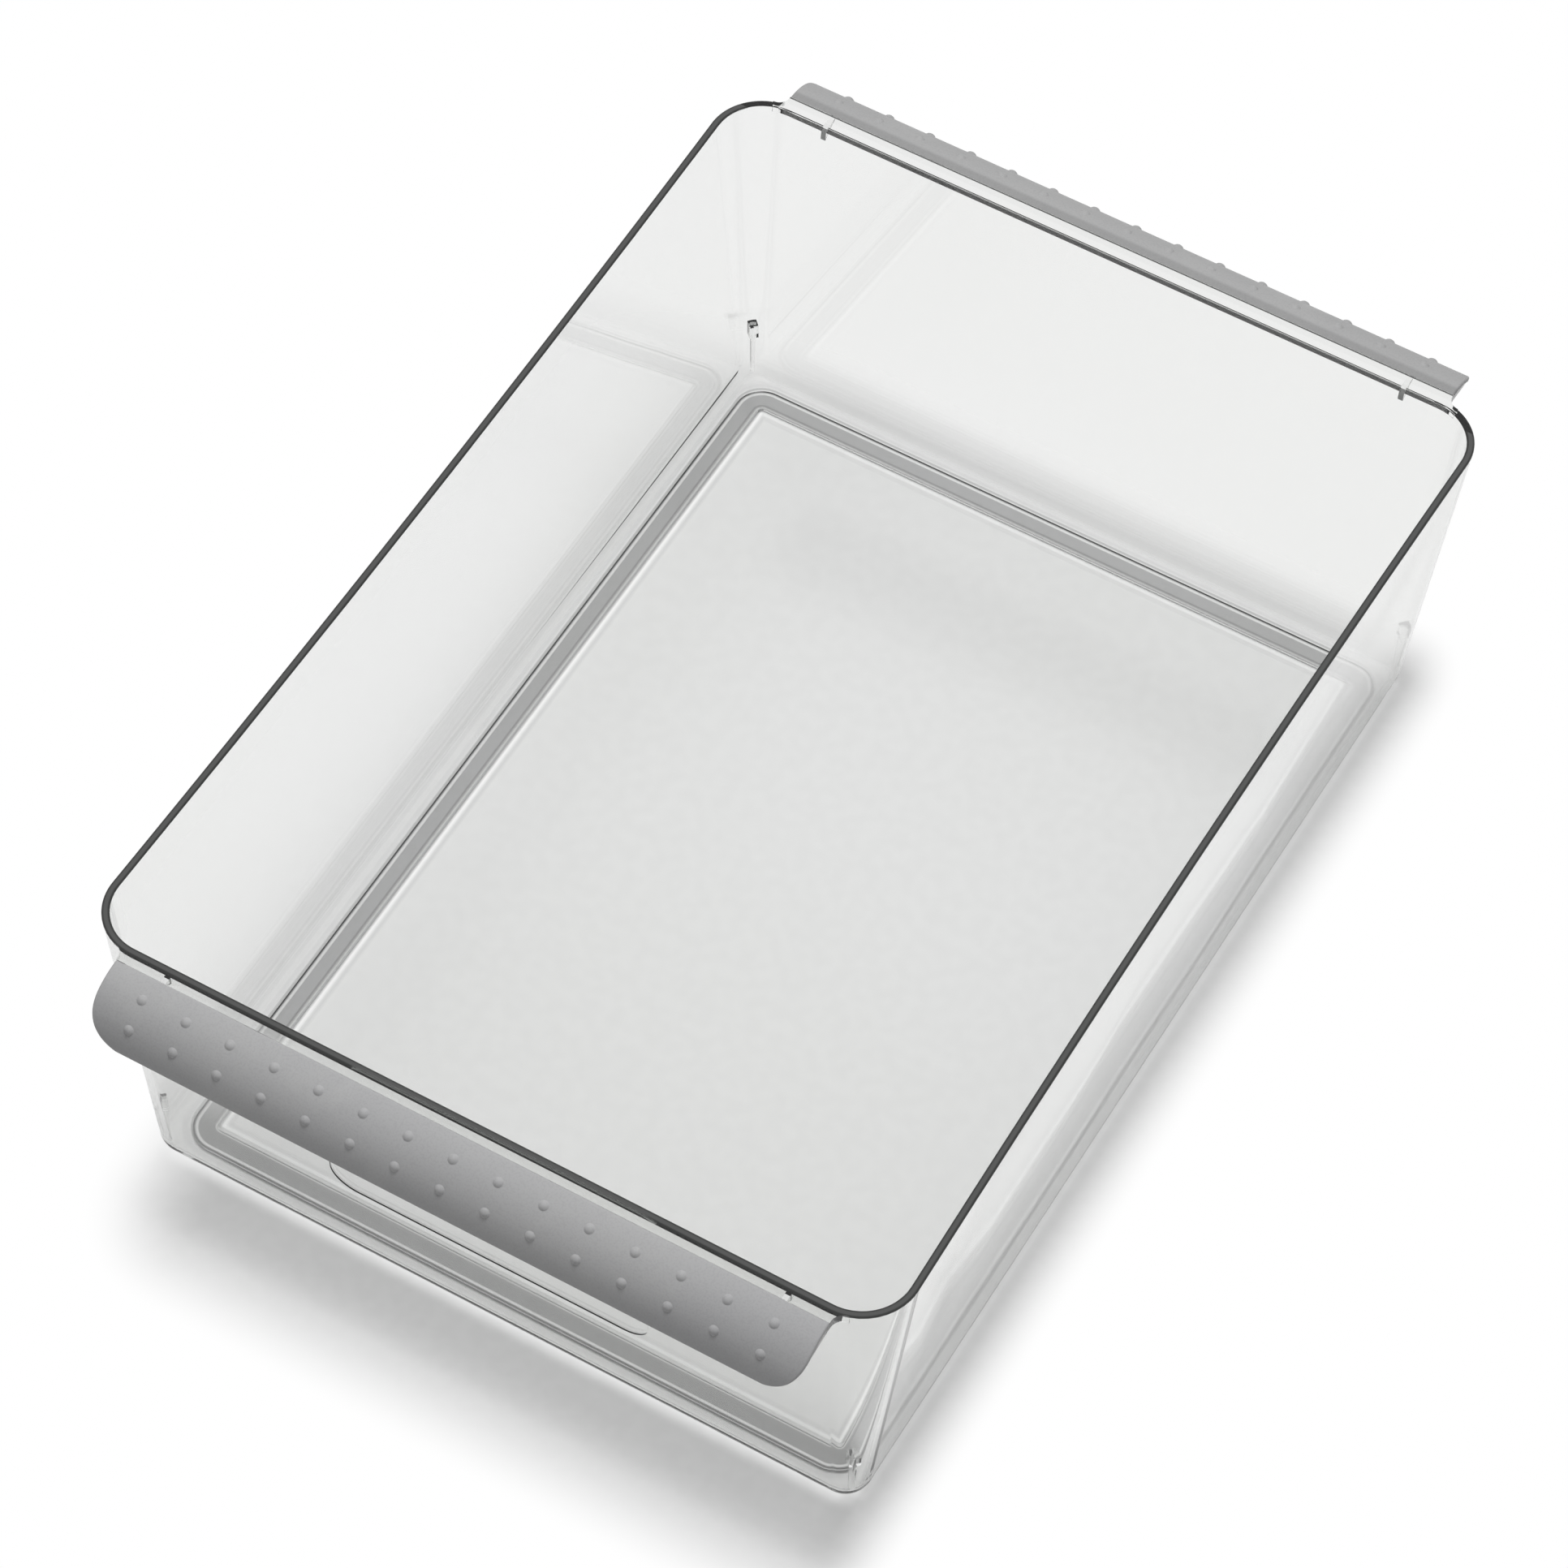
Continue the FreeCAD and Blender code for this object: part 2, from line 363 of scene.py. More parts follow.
class CornerNormal(Effect):
    """True normal of the body's round corners, which its mesh only comes near to."""

    name = "corner normal"
    inputs = {"Place": "Vector", "Given": "Vector"}
    outputs = {"Normal": "Vector"}
    shape = CornerShape()

    @classmethod
    def work_out(cls, graph: Graph, given: object) -> dict[str, Socket]:
        """Point away from the corner's middle line, leaning with the wall (see Effect.work_out)."""
        shape = cls.shape
        spread = graph.parts(given["Place"])
        rise = graph.math("DIVIDE", spread["Z"], shape.height)
        over, ways = [], []
        for axis, low, widen in (("X", shape.low_x, shape.widen_x),
                                 ("Y", shape.low_y, shape.widen_y)):
            middle = graph.math("MULTIPLY_ADD", rise, widen, low)
            past = graph.math("SUBTRACT", graph.math("ABSOLUTE", spread[axis]), middle)
            over.append(past)
            ways.append(graph.product(past, graph.math("SIGN", spread[axis])))
        level = graph.add("CombineXYZ", {"X": ways[0], "Y": ways[1]}).outputs[0]
        level = graph.add("VectorMath", {0: level}, operation="NORMALIZE").outputs[0]
        flat = graph.parts(level)
        lean = graph.math("MULTIPLY_ADD", graph.math("ABSOLUTE", flat["X"]),
                          shape.widen_x / shape.height, shape.slope)
        lean = graph.math("MULTIPLY_ADD", graph.math("ABSOLUTE", flat["Y"]),
                          shape.widen_y / shape.height, lean)
        out = graph.add("CombineXYZ", {"X": flat["X"], "Y": flat["Y"],
                                       "Z": graph.product(lean, -1.0)}).outputs[0]
        out = graph.add("VectorMath", {0: out}, operation="NORMALIZE").outputs[0]
        near = graph.add("VectorMath", {0: out, 1: given["Given"]},
                         operation="DOT_PRODUCT").outputs["Value"]
        true = graph.add("VectorMath", {0: out, "Scale": graph.math("SIGN", near)},
                         operation="SCALE").outputs[0]
        share = graph.product(
            graph.over(over[0], 0.0), graph.over(over[1], 0.0),
            graph.over(spread["Z"], shape.bottom), graph.under(spread["Z"], shape.top),
            graph.over(graph.math("ABSOLUTE", near), shape.match))
        mixed = graph.add("Mix", {"Factor": share, MIX_VECTORS[0]: given["Given"],
                                  MIX_VECTORS[1]: true}, data_type="VECTOR")
        return {"Normal": mixed.outputs[MIXED_VECTOR]}


# ---------------------------------------------------------------- finishes


@dataclass(frozen=True)
class Line:
    """One soft line that runs along an outline."""

    depth: float
    width: float
    colour: Colour

    def share(self, graph: Graph, depth: Socket) -> Socket:
        """Return where the line shows.

        Args:
            graph: The material's graph.
            depth: How far inside the outline a place lies.

        Returns:
            A mask that is 1 in the middle of the line.
        """
        away = graph.math("ABSOLUTE", graph.math("SUBTRACT", depth, self.depth))
        return graph.ramp(away, LINE_SOLID * self.width, LINE_GONE * self.width, 1.0, 0.0)


@dataclass(frozen=True)
class Outline:
    """Rounded rectangle round the bin's middle, seen from above, in metres."""

    half_width: float
    half_length: float
    corner: float

    def depth(self, graph: Graph, place: Socket) -> Socket:
        """Return how far inside the outline a place lies.

        Args:
            graph: The material's graph.
            place: The place on the piece.

        Returns:
            The depth, which is less than 0 outside.
        """
        return OutlineDepth.place(graph, place=place, half_width=self.half_width,
                                  half_length=self.half_length, corner=self.corner)["Depth"]


RING_OUTLINE = Outline(0.0995, 0.1465, 0.008)


def object_place(graph: Graph) -> Socket:
    """Return the place on the piece, in its own coordinates."""
    return graph.add("TexCoord").outputs["Object"]


def new_material(name: str) -> tuple[bpy.types.Material, Graph]:
    """Make an empty material.

    Args:
        name: The material's name.

    Returns:
        The material and its graph.
    """
    material = bpy.data.materials.new(name)
    material.use_nodes = True
    return material, Graph(material.node_tree)


@dataclass(frozen=True)
class ClearPlastic:
    """Glossy see-through moulding that darkens along a long way through it."""

    name: str = "clear_plastic"
    clean: Colour = (0.955, 0.957, 0.955)
    drifted: Colour = (0.943, 0.946, 0.938)
    drift_size: float = 0.16
    refraction: float = 1.53
    shade: Colour = (0.50, 0.51, 0.50)
    density: float = 60.0
    # Waves in the surface, and marks of use.
    wave_size: float = 0.03
    wave_depth: float = 0.000004
    gloss: float = 0.015
    smudged: float = 0.03
    scuffed: float = 0.05
    smudge_size: float = 0.045
    # Light that passes in shadows, straight on and at a steep slant.
    passing: Colour = (0.955, 0.956, 0.955)
    blocked: Colour = (0.55, 0.55, 0.55)
    steep_from: float = 0.3
    # The rim's cut edge, bowed in along both sides, with painted shade over it and a painted glow
    # along its middle.
    painted_rim: Colour = (0.15, 0.155, 0.15)
    rim_painted_glow: Colour = (0.066, 0.067, 0.066)
    border_painted_glow: Colour = (0.011, 0.012, 0.011)
    rim_outline: Outline = Outline(0.11446, 0.1625, 0.0157)
    rim_bow: float = 0.0014
    rim_middle: float = 0.00105
    rim_middle_width: float = 0.0011
    rim_from: float = 0.1040
    rim_to: float = 0.1043
    rim_front: float = -0.1627
    rim_rear: float = 0.1560
    # The floor's upper side, with painted shade lines and a painted glint in it round the ring's
    # seat.
    floor_top: float = 0.0036
    floor_under: float = 0.0030
    floor_rough: float = 0.17
    seat_outline: Outline = RING_OUTLINE
    seat_shade_lines: tuple[Line, ...] = (
        Line(-0.0020, 0.0018, (0.86, 0.86, 0.86)),
        Line(-0.0002, 0.0007, (0.50, 0.50, 0.50)),
        Line(0.0069, 0.0006, (0.55, 0.55, 0.55)),
        Line(0.0092, 0.0010, (0.85, 0.85, 0.85)),
    )
    seat_painted_glint: Line = Line(0.0079, 0.0007, (0.13, 0.13, 0.13))
    # The inside rounding along the foot of the rear wall.
    foot_outline: Outline = Outline(0.1053, 0.1538, 0.0073)
    foot_skin: float = 0.0012
    foot_from: float = 0.0033
    foot_to: float = 0.0062
    foot_rough: float = 0.2

    def material(self) -> bpy.types.Material:
        """Return the finish as a material."""
        material, graph = new_material(self.name)
        place = object_place(graph)
        colour, painted_glow = self.tones(graph, place)
        # The emission is a painted glow: along the rim's cut edge and as a glint round the ring's
        # seat.
        body = graph.add("BsdfPrincipled", {
            "Base Color": colour, "Roughness": self.rough(graph, place), "IOR": self.refraction,
            "Transmission Weight": 1.0, "Emission Color": painted_glow, "Emission Strength": 1.0,
            "Normal": self.normal(graph, place)})
        facing = graph.add("LayerWeight", {"Blend": 0.5}).outputs["Facing"]
        passed = graph.blend(graph.ramp(facing, self.steep_from, 1.0), opaque(self.passing),
                             opaque(self.blocked))
        passing = graph.add("BsdfTransparent", {"Color": passed})
        path = graph.add("LightPath").outputs
        lighting = graph.math("MAXIMUM", path["Is Shadow Ray"], path["Is Diffuse Ray"])
        surface = graph.add("MixShader", {0: lighting, 1: body.outputs[0], 2: passing.outputs[0]})
        inside = graph.add("VolumeAbsorption", {"Color": opaque(self.shade),
                                                "Density": self.density})
        graph.add("OutputMaterial", {"Surface": surface.outputs[0], "Volume": inside.outputs[0]})
        return material

    def tones(self, graph: Graph, place: Socket) -> tuple[Socket, Socket]:
        """Return the plastic's colour and the painted glow that it gives off.

        Args:
            graph: The material's graph.
            place: The place on the body.

        Returns:
            The colour, with painted shade on the rim and round the ring's seat, and the painted
            glow.
        """
        drift = SlowDrift.place(graph, place=place, patch_size=self.drift_size)
        colour = graph.blend(drift["Share"], opaque(self.clean), opaque(self.drifted))
        painted_rim, rim_painted_glow = self.rim_shade_and_glow(graph, place)
        # Painted shade on the rim's cut edge.
        colour = graph.blend(painted_rim, colour, opaque(self.painted_rim))
        depth = self.seat_outline.depth(graph, place)
        on_floor = graph.under(graph.parts(place)["Z"], self.floor_top)
        # Painted shade lines round the ring's seat.
        for line in self.seat_shade_lines:
            shown = graph.product(line.share(graph, depth), on_floor)
            colour = graph.blend(shown, colour, opaque(line.colour))
        # Painted glint round the seat, given off as light.
        shown = graph.product(self.seat_painted_glint.share(graph, depth), on_floor)
        painted_glint = graph.blend(shown, opaque(BLACK), opaque(self.seat_painted_glint.colour))
        return colour, graph.blend(painted_rim, painted_glint, rim_painted_glow)

    def rough(self, graph: Graph, place: Socket) -> Socket:
        """Return the roughness: marks of use, a blurred floor and a blurred inner foot at the rear.

        Args:
            graph: The material's graph.
            place: The place on the body.

        Returns:
            The roughness.
        """
        marks = HandlingMarks.place(graph, place=place, patch_size=self.smudge_size)
        rough = graph.math("MULTIPLY_ADD", marks["Smudges"], self.smudged - self.gloss, self.gloss)
        rough = graph.math("MULTIPLY_ADD", marks["Scuffs"], self.scuffed - self.gloss, rough)
        spread = graph.parts(place)
        top = graph.product(graph.under(spread["Z"], self.floor_top),
                            graph.over(spread["Z"], self.floor_under))
        rough = graph.math("MULTIPLY_ADD", top, self.floor_rough, rough)
        depth = self.foot_outline.depth(graph, place)
        low = graph.ramp(spread["Z"], self.foot_to, self.foot_to + self.foot_skin, 1.0, 0.0)
        foot = graph.product(graph.over(depth, self.foot_skin),
                             graph.over(spread["Z"], self.foot_from), low,
                             graph.over(spread["Y"], 0.0))
        return graph.math("MULTIPLY_ADD", foot, self.foot_rough, rough)

    def normal(self, graph: Graph, place: Socket) -> Socket:
        """Return the normal: true round corners, and very slight waves all over.

        Args:
            graph: The material's graph.
            place: The place on the body.

        Returns:
            The normal.
        """
        given = graph.add("NewGeometry").outputs["Normal"]
        normal = CornerNormal.place(graph, place=place, given=given)["Normal"]
        waves = SlowDrift.place(graph, place=place, patch_size=self.wave_size)
        bump = graph.add("Bump", {"Distance": self.wave_depth, "Height": waves["Height"],
                                  "Normal": normal})
        return bump.outputs["Normal"]

    def rim_shade_and_glow(self, graph: Graph, place: Socket) -> tuple[Socket, Socket]:
        """Return where the rim's cut edge lies, and the painted glow put there for light leaving
        the wall.

        Args:
            graph: The material's graph.
            place: The place on the body.

        Returns:
            A mask of the rim, which ends at the two lips, and the colour of its painted glow, which
            is less along the rim's two round borders.
        """
        spread = graph.parts(place)
        share = graph.product(graph.ramp(spread["Z"], self.rim_from, self.rim_to),
                              graph.over(spread["Y"], self.rim_front),
                              graph.under(spread["Y"], self.rim_rear))
        outline = self.rim_outline
        along = graph.math("DIVIDE", spread["Y"], outline.half_length - outline.corner)
        fall = graph.math("SUBTRACT", 1.0, graph.product(along, along))
        bow = graph.product(graph.math("MAXIMUM", fall, 0.0), self.rim_bow)
        across = graph.math("ADD", graph.math("ABSOLUTE", spread["X"]), bow)
        straight = graph.add("CombineXYZ", {"X": across, "Y": spread["Y"]}).outputs[0]
        depth = outline.depth(graph, straight)
        middle = Line(self.rim_middle, self.rim_middle_width, self.rim_painted_glow)
        return share, graph.blend(middle.share(graph, depth), opaque(self.border_painted_glow),
                                  opaque(middle.colour))


@dataclass(frozen=True)
class SoftRubber:
    """Matt soft rubber with a fine moulded grain."""

    name: str
    colour: Colour
    worn: Colour
    roughness: float = 0.62
    polished: float = 0.5
    grain_size: float = 0.00045
    grain_depth: float = 0.000012
    pit_painted_shade: float = 0.06
    patch_size: float = 0.02
    drift_patches: float = 3.0
    drift_share: float = 0.5
    sheen: float = 0.12
    sheen_roughness: float = 0.4

    def material(self) -> bpy.types.Material:
        """Return the finish as a material."""
        material, graph = new_material(self.name)
        place = object_place(graph)
        grain = FineGrain.place(graph, place=place, grain_size=self.grain_size)
        marks = HandlingMarks.place(graph, place=place, patch_size=self.patch_size)
        drift = SlowDrift.place(graph, place=place,
                                patch_size=self.drift_patches * self.patch_size)
        worn = graph.product(drift["Share"], self.drift_share)
        worn = graph.math("MULTIPLY_ADD", marks["Smudges"], 1.0 - self.drift_share, worn)
        colour = graph.blend(worn, opaque(self.colour), opaque(self.worn))
        colour = self.tint(graph, place, colour)
        # Painted shade in the grain's pits.
        pit_shade = graph.product(grain["Pits"], self.pit_painted_shade)
        colour = graph.blend(pit_shade, colour, opaque(BLACK))
        rough = graph.math("MULTIPLY_ADD", marks["Smudges"],
                           self.polished - self.roughness, self.roughness)
        bump = graph.add("Bump", {"Distance": self.grain_depth, "Height": grain["Height"]})
        body = graph.add("BsdfPrincipled", {
            "Base Color": colour, "Roughness": rough, "Sheen Weight": self.sheen,
            "Sheen Roughness": self.sheen_roughness, "Normal": bump.outputs["Normal"]})
        graph.add("OutputMaterial", {"Surface": body.outputs[0]})
        return material

    def tint(self, graph: Graph, place: Socket, colour: Socket) -> Socket:
        """Change the colour over the piece.

        Args:
            graph: The material's graph.
            place: The place on the piece.
            colour: The rubber's colour.

        Returns:
            The changed colour, which is the same colour on plain rubber.
        """
        return colour


@dataclass(frozen=True)
class GripRubber(SoftRubber):
    """Rubber of the two grips; the rear one gets painted shade, most along its inner border."""

    # Painted shade over the whole rear grip.
    rear: Colour = (0.27, 0.27, 0.27)
    rear_shade_share: float = 0.75
    border_painted_shade: Colour = (0.15, 0.15, 0.15)
    border_shade_share: float = 0.5
    border_from: float = 0.1672
    border_to: float = 0.1688

    def tint(self, graph: Graph, place: Socket, colour: Socket) -> Socket:
        """Paint shade on the rear grip and its inner border (see SoftRubber.tint)."""
        back = graph.parts(place)["Y"]
        behind = graph.over(back, 0.0)
        # Painted shade on the rear grip, then more along its inner border.
        colour = graph.blend(graph.product(behind, self.rear_shade_share), colour, opaque(self.rear))
        near = graph.ramp(back, self.border_from, self.border_to, self.border_shade_share, 0.0)
        return graph.blend(graph.product(near, behind), colour, opaque(self.border_painted_shade))


@dataclass(frozen=True)
class RingRubber(SoftRubber):
    """Rubber of the foot ring, with painted highlight and shade lines along its borders and painted
    shade on its front run.
    """

    outline: Outline = RING_OUTLINE
    # Painted highlight and painted shade lines along the ring's borders.
    painted_edge_lines: tuple[Line, ...] = (
        Line(0.0001, 0.0006, (0.10, 0.10, 0.10)),
        Line(0.0010, 0.0007, (0.80, 0.80, 0.80)),
        Line(0.0052, 0.0005, (0.28, 0.28, 0.28)),
        Line(0.0061, 0.0006, (0.62, 0.62, 0.62)),
    )
    # Painted shade on the front run.
    front: Colour = (0.26, 0.26, 0.26)
    front_shade_from: float = -0.142
    front_shade_to: float = -0.132

    def tint(self, graph: Graph, place: Socket, colour: Socket) -> Socket:
        """Paint shade on the front run and draw the painted highlight and shade lines (see
        SoftRubber.tint).
        """
        back = graph.parts(place)["Y"]
        # Painted shade on the front run.
        front_shade_share = graph.ramp(back, self.front_shade_from, self.front_shade_to, 1.0, 0.0)
        colour = graph.blend(front_shade_share, colour, opaque(self.front))
        depth = self.outline.depth(graph, place)
        for line in self.painted_edge_lines:
            colour = graph.blend(line.share(graph, depth), colour, opaque(line.colour))
        return colour


@dataclass(frozen=True)
class ShadowEdge:
    """Where the floor's shadow starts to fade on each side of the bin, and over what width."""

    left: float
    left_fade: float
    right: float
    right_fade: float
    rear: float
    rear_fade: float
    front: float
    front_fade: float

    def white_share(self, graph: Graph, place: Socket) -> Socket:
        """Return how far the shadow has faded.

        Args:
            graph: The floor's graph.
            place: The place on the floor.

        Returns:
            A mask that is 0 under the bin and 1 well away from it.
        """
        spread = graph.parts(place)
        sides = (("X", -1.0, self.left, self.left_fade), ("X", 1.0, self.right, self.right_fade),
                 ("Y", 1.0, self.rear, self.rear_fade), ("Y", -1.0, self.front, self.front_fade))
        squares = []
        for axis, way, edge, fade in sides:
            share = graph.math("MULTIPLY_ADD", spread[axis], way / fade, -edge / fade)
            share = graph.math("MAXIMUM", share, 0.0)
            squares.append(graph.product(share, share))
        total = squares[0]
        for square in squares[1:]:
            total = graph.math("ADD", total, square)
        return graph.ramp(graph.math("SQRT", total), 0.0, 1.0)


@dataclass(frozen=True)
class StudioFloor:
    """Pale floor that holds the shadow beside the bin and runs out to plain white.

    From below it is open, so that the bin's underside can be seen.
    """

    name: str = "studio_floor"
    paper: Colour = (0.82, 0.82, 0.82)
    speck: Colour = (0.80, 0.80, 0.80)
    speck_size: float = 0.004
    roughness: float = 0.9
    beside: ShadowEdge = ShadowEdge(left=0.081, left_fade=0.034, right=0.104, right_fade=0.018,
                                    rear=0.146, rear_fade=0.026, front=0.162, front_fade=0.034)
    through: ShadowEdge = ShadowEdge(left=0.068, left_fade=0.085, right=0.104, right_fade=0.018,
                                     rear=0.138, rear_fade=0.034, front=0.162, front_fade=0.034)

    def material(self) -> bpy.types.Material:
        """Return the finish as a material."""
        material, graph = new_material(self.name)
        place = object_place(graph)
        speckle = SlowDrift.place(graph, place=place, patch_size=self.speck_size)
        colour = graph.blend(speckle["Share"], opaque(self.paper), opaque(self.speck))
        paper = graph.add("BsdfPrincipled", {"Base Color": colour, "Roughness": self.roughness,
                                             "Specular IOR Level": 0.0})
        path = graph.add("LightPath").outputs
        direct = graph.product(self.beside.white_share(graph, place), path["Is Camera Ray"])
        bent = graph.math("MAXIMUM", path["Is Glossy Ray"], path["Is Transmission Ray"])
        bent = graph.product(self.through.white_share(graph, place), bent)
        share = graph.math("MAXIMUM", direct, bent)
        white = graph.add("Emission", {"Strength": 1.0})
        surface = graph.add("MixShader", {0: share, 1: paper.outputs[0], 2: white.outputs[0]})
        below = graph.product(graph.add("NewGeometry").outputs["Backfacing"],
                              path["Is Camera Ray"])
        surface = graph.add("MixShader", {0: below, 1: surface.outputs[0],
                                          2: graph.add("BsdfTransparent").outputs[0]})
        graph.add("OutputMaterial", {"Surface": surface.outputs[0]})
        return material


CLEAR = ClearPlastic()
GRIP_RUBBER = GripRubber("grey_grip", colour=(0.305, 0.305, 0.31), worn=(0.33, 0.33, 0.33))
RING_RUBBER = RingRubber("grey_ring", colour=(0.435, 0.435, 0.44), worn=(0.41, 0.41, 0.41),
                         roughness=0.7, grain_size=0.0006)


# ---------------------------------------------------------------- workbench


class Part(Enum):
    """What a selection is made of."""

    POINTS = "VERT"
    EDGES = "EDGE"


class Workpiece:
    """A mesh object that is shaped in millimetres by selections and operators."""

    def __init__(self, name: str, add: Callable[[], object]) -> None:
        """Add a primitive and start to work on it.

        Args:
            name: The piece's name.
            add: Call of the operator that adds the primitive.
        """
        self.rest()
        add()
        self.piece = bpy.context.active_object
        self.piece.name = name
        self.piece.data.name = name

    @staticmethod
    def rest() -> None:
        """Leave edit mode, with nothing selected."""
        if bpy.context.mode != "OBJECT":
            bpy.ops.object.mode_set(mode="OBJECT")
        bpy.ops.object.select_all(action="DESELECT")

    def hold(self) -> None:
        """Make this the only selected object."""
        self.rest()
        bpy.context.view_layer.objects.active = self.piece
        self.piece.select_set(True)

    def settle(self) -> None:
        """Make the piece's place, turn and size part of its mesh."""
        self.hold()
        bpy.ops.object.transform_apply(location=True, rotation=True, scale=True)

    def edit(self) -> None:
        """Enter edit mode on this piece alone."""
        self.hold()
        bpy.ops.object.mode_set(mode="EDIT")

    def pick(self, part: Part, test: Callable[[Vector], bool]) -> None:
        """Select the parts whose every corner passes a test.

        Args:
            part: What is selected.
            test: Says whether a point belongs.
        """
        bpy.ops.mesh.select_mode(type=part.value)
        bpy.ops.mesh.select_all(action="DESELECT")
        shape = bmesh.from_edit_mesh(self.piece.data)
        for element in shape.verts if part is Part.POINTS else shape.edges:
            corners = [element] if part is Part.POINTS else element.verts
            if all(test(corner.co) for corner in corners):
                element.select_set(True)
        bmesh.update_edit_mesh(self.piece.data)

    def pick_all(self) -> None:
        """Select the whole mesh."""
        bpy.ops.mesh.select_all(action="SELECT")

    def slice(self, point: Vector, normal: Vector, drop_behind: bool = False) -> None:
        """Cut the whole mesh along a plane.

        Args:
            point: A point of the plane.
            normal: The plane's direction.
            drop_behind: Whether what lies behind the plane is cut away.
        """
        self.pick_all()
        bpy.ops.mesh.bisect(plane_co=point, plane_no=normal, clear_inner=drop_behind)

    def lift(self, step: Vector) -> None:
        """Extrude the selection along a step."""
        bpy.ops.mesh.extrude_region_move(TRANSFORM_OT_translate={"value": step})

    def face_out(self) -> None:
        """Turn every face outwards."""
        self.pick_all()
        bpy.ops.mesh.normals_make_consistent(inside=False)

    def move_points(self, place: Callable[[Vector], Vector]) -> None:
        """Move every point.

        Args:
            place: Gives a point's new place from its old one.
        """
        self.rest()
        for point in self.piece.data.vertices:
            point.co = place(point.co.copy())

    def unite(self, other: "Workpiece") -> None:
        """Fuse another piece into this one.

        Args:
            other: The piece that is fused in, and removed.
        """
        self.hold()
        fuse = self.piece.modifiers.new("fuse", "BOOLEAN")
        fuse.operation = "UNION"
        fuse.solver = "EXACT"
        fuse.object = other.piece
        bpy.ops.object.modifier_apply(modifier=fuse.name)
        bpy.data.objects.remove(other.piece)

    def finish(self, material: bpy.types.Material, smooth: float = 40.0) -> bpy.types.Object:
        """Bring the piece to metres, smooth its shading and dress it.

        Args:
            material: The piece's finish.
            smooth: Angle in degrees under which an edge is shaded smooth.

        Returns:
            The finished object.
        """
        self.piece.scale = (MM, MM, MM)
        self.settle()
        bpy.ops.object.shade_smooth_by_angle(angle=math.radians(smooth))
        weigh = self.piece.modifiers.new("weigh", "WEIGHTED_NORMAL")
        weigh.keep_sharp = True
        bpy.ops.object.modifier_apply(modifier=weigh.name)
        self.piece.data.materials.clear()
        self.piece.data.materials.append(material)
        self.rest()
        return self.piece


def declare(piece: bpy.types.Object, node: str) -> None:
    """Tell the frame what a finished piece is.

    Args:
        piece: The piece.
        node: The node that it stands for.
    """
    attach(piece, BODY)
    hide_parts(node)
    LOG.info("%s: %d faces, stands for %s", piece.name, len(piece.data.polygons), node)


# ---------------------------------------------------------------- sub-assemblies


@dataclass
class ClearBody:
    """Clear box with its two lips; its solid is the visible shape."""

    finish: ClearPlastic
    node: str = "bin_shell"

    def dress(self) -> bpy.types.Object:
        """Give the solid its finish.

        Returns:
            The node's object.
        """
        shell = frame["nodes"][self.node]
        material = self.finish.material()
        for slot in shell.material_slots:
            slot.material = material
        LOG.info("%s: dressed in %s", self.node, self.finish.name)
        return shell


@dataclass
class Nub:
    """Low round nub with a flared foot."""

    diameter: float = 2.8
    height: float = 0.65
    flare: float = 0.35
    sunk: float = 0.02
    root: float = 0.35
    sides: int = 24
    dome_rings: int = 5
    flare_rings: int = 3

    def profile(self) -> list[tuple[float, float]]:
        """Return radius and height of each ring, from the foot to the one under the top."""
        dome = (self.diameter ** 2 / 4 + self.height ** 2) / (2 * self.height)
        centre = self.height - dome
        foot = math.sqrt((dome + self.flare) ** 2 - (self.flare - centre) ** 2)
        meet = math.asin(foot / (dome + self.flare))
        rings = [(foot, -self.root)]
        for step in range(self.flare_rings):
            lean = meet * step / self.flare_rings
            rings.append((foot - self.flare * math.sin(lean), self.flare * (1 - math.cos(lean))))
        for step in range(self.dome_rings):
            lean = meet * (1 - step / self.dome_rings)
            rings.append((dome * math.sin(lean), centre + dome * math.cos(lean)))
        return [(radius, height - self.sunk) for radius, height in rings]

    def build(self, seat_radius: float) -> Workpiece:
        """Model one nub, standing up at the origin.

        Args:
            seat_radius: Radius of the roll that the foot has to follow, along Y.

        Returns:
            The nub.
        """
        rings = self.profile()
        nub = Workpiece("nub", lambda: bpy.ops.mesh.primitive_circle_add(
            vertices=self.sides, radius=rings[0][0], fill_type="NGON",
            location=(0, 0, rings[0][1])))
        nub.settle()
        nub.edit()
        nub.pick_all()
        for (radius, height), (wider, lower) in zip(rings[1:], rings):
            nub.lift(Vector((0, 0, height - lower)))
            share = radius / wider
            bpy.ops.transform.resize(value=(share, share, 1))
        nub.lift(Vector((0, 0, self.height - self.sunk - rings[-1][1])))
        bpy.ops.mesh.merge(type="CENTER")
        nub.face_out()

        def on_seat(point: Vector) -> Vector:
            """Let a point down on to the roll."""
            drop = seat_radius - math.sqrt(seat_radius ** 2 - point.y ** 2)
            return point - Vector((0, 0, drop))

        nub.move_points(on_seat)
        return nub


